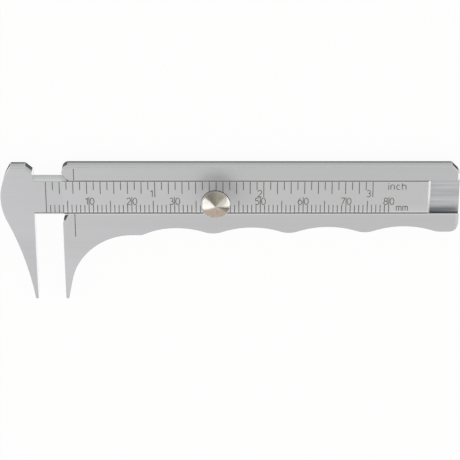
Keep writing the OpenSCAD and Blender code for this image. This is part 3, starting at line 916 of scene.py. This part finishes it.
class CALIPER_OT_stage(Operator):
    """Pale floor, soft lamps and the camera"""

    bl_idname = "caliper.stage"
    bl_label = "Stage"

    # Half the floor's width, and a hair above the caliper's back, so that the two don't lie in one plane
    FLOOR_HALF, FLOOR_Z = 3, 0.01 * MM
    # Share of plain white in the floor that the camera and shiny faces see
    WHITE = 0.94
    # Distance of the lamps
    LAMPS_AT = 0.72
    # Point on the caliper's face that the camera looks at
    AIM_X, AIM_Y = FIXED_X + 39.17 * MM, SLIDE_Y - 8.356 * MM

    def execute(self, context):
        look = context.scene.caliper_stage
        self.lay_floor(look)
        self.light(context.scene)
        self.aim(context.scene, look)
        context.scene.view_settings.view_transform = "Standard"
        return {"FINISHED"}

    def lay_floor(self, look):
        """Lays a pale floor that looks nearly white."""
        bm = bmesh.new()
        lifted = Matrix.Translation((0, 0, self.FLOOR_Z))
        bmesh.ops.create_grid(bm, x_segments=8, y_segments=8, size=self.FLOOR_HALF, matrix=lifted)
        mesh = bpy.data.meshes.new("floor")
        bm.to_mesh(mesh)
        bm.free()
        floor = bpy.data.objects.new("floor", mesh)
        bpy.context.scene.collection.objects.link(floor)
        finish, at = new_finish("pale floor")
        paper = at.specks(2 * MM, 3, 0.6)
        pale = paper.blend(shade(look.floor, 0.99), shade(look.floor, 1.01))
        matt = at.add("ShaderNodeBsdfDiffuse", None, {"Color": pale})
        white = at.add("ShaderNodeEmission", None, {"Color": (1, 1, 1, 1), "Strength": 1.0})
        ray = "ShaderNodeLightPath"
        seen = at.add(ray, None, None, "Is Camera Ray")
        seen = seen.math("MAXIMUM", seen, at.add(ray, None, None, "Is Glossy Ray"))
        seen = seen.math("MAXIMUM", seen, at.add(ray, None, None, "Is Transmission Ray"))
        mixed = at.add("ShaderNodeMixShader", None, {0: seen * self.WHITE, 1: matt, 2: white})
        at.add("ShaderNodeOutputMaterial", None, {"Surface": mixed})
        mesh.materials.append(finish)

    def light(self, scene):
        """Lights the room and hangs soft boxes."""
        world = bpy.data.worlds.new("studio")
        scene.world = world
        world.use_nodes = True
        world.node_tree.nodes.clear()
        at = Wire(world.node_tree).add("ShaderNodeTexCoord", None, None, "Generated")
        # A pale room with a dim ceiling, dimmest to the left
        ceiling = at.part("X").ramp(-0.45, 0.35).blend((0.3, 0.285, 0.24, 1), (0.56, 0.535, 0.46, 1))
        sky = at.part("Z").ramp(0.45, 0.95).blend((0.93, 0.92, 0.91, 1), ceiling)
        # A warmer, darker wall in front of the caliper
        front = (0 - at.part("Y")).ramp(0.54, 0.66) * at.part("Z").ramp(0.2, 0.35)
        sky = front.blend(sky, (0.75, 0.64, 0.55, 1))
        # A dim corner to the right of it
        corner = at.part("X").ramp(0.43, 0.5) * (0 - at.part("Y")).ramp(0.44, 0.5)
        corner = corner * at.part("Z").ramp(0.4, 0.5)
        sky = corner.blend(sky, (0.27, 0.25, 0.21, 1))
        glow = at.add("ShaderNodeBackground", None, {"Color": sky, "Strength": 1.0})
        at.add("ShaderNodeOutputWorld", None, {"Surface": glow})
        # Name, direction, width, length, brightness and colour of each soft box
        for name, towards, width, length, bright, colour in (
            ("key", (0.0, -0.541, 0.841), 0.62, 0.42, 0.555, (0.86, 0.89, 1.0)),
            ("left", (-0.528, -0.295, 0.796), 0.32, 0.505, 1.15, (1.0, 0.99, 1.0)),
            ("right", (0.5, -0.15, 0.853), 0.26, 0.31, 0.34, (1.0, 0.97, 0.95)),
            ("far right", (0.728, -0.195, 0.657), 0.22, 0.43, 1.1, (1.0, 1.0, 1.0)),
        ):
            lamp = bpy.data.lights.new(name, "AREA")
            lamp.shape = "RECTANGLE"
            lamp.size, lamp.size_y = width, length
            lamp.energy = bright * math.pi * width * length
            lamp.color = colour
            box = bpy.data.objects.new(name, lamp)
            # Each box faces the caliper, with its length as near to Y as that allows
            out = Vector(towards).normalized()
            side = Vector((0, 1, 0)).cross(out).normalized()
            box.matrix_world = Matrix((side, out.cross(side), out)).transposed().to_4x4()
            box.location = out * self.LAMPS_AT
            box.visible_camera = False
            scene.collection.objects.link(box)

    def aim(self, scene, look):
        """Puts the camera where the view was taken from."""
        camera = bpy.data.objects.new("camera", bpy.data.cameras.new("camera"))
        camera.data.lens = look.lens
        camera.data.sensor_width = 36
        camera.data.clip_start, camera.data.clip_end = 0.01, 20
        target = Vector((self.AIM_X, self.AIM_Y, FACE_Z))
        camera.location = target + look.distance * Vector((0, math.sin(look.tilt), math.cos(look.tilt)))
        camera.rotation_euler = (-look.tilt, 0, 0)
        scene.collection.objects.link(camera)
        scene.camera = camera


class CALIPER_PT_pieces(Panel):
    """Lists the steps that finish the caliper"""

    bl_idname = "CALIPER_PT_pieces"
    bl_label = "Caliper"
    bl_space_type = "VIEW_3D"
    bl_region_type = "UI"
    bl_category = "Caliper"

    def draw(self, context):
        for group in GROUPS:
            values = getattr(context.scene, group)
            box = self.layout.box()
            for name in values.__annotations__:
                box.prop(values, name)
        for step in STEPS:
            self.layout.operator(step.bl_idname)


STEPS = (
    CALIPER_OT_body, CALIPER_OT_slide, CALIPER_OT_thumb_screw, CALIPER_OT_marks, CALIPER_OT_inner_pieces,
    CALIPER_OT_stage,
)
GROUPS = {
    "caliper_steel": SteelFinish,
    "caliper_screw": ScrewFinish,
    "caliper_marks": MarkFinish,
    "caliper_stage": StageLook,
}


def register():
    for group in GROUPS.values():
        bpy.utils.register_class(group)
    for step in STEPS:
        bpy.utils.register_class(step)
    bpy.utils.register_class(CALIPER_PT_pieces)
    for name, group in GROUPS.items():
        setattr(bpy.types.Scene, name, PointerProperty(type=group))


def unregister():
    for name in GROUPS:
        delattr(bpy.types.Scene, name)
    bpy.utils.unregister_class(CALIPER_PT_pieces)
    for step in reversed(STEPS):
        bpy.utils.unregister_class(step)
    for group in reversed(GROUPS.values()):
        bpy.utils.unregister_class(group)


def main():
    register()
    bpy.ops.caliper.body()
    bpy.ops.caliper.slide()
    bpy.ops.caliper.thumb_screw()
    bpy.ops.caliper.marks()
    bpy.ops.caliper.inner_pieces()
    bpy.ops.caliper.stage()


if __name__ == "__main__":
    main()
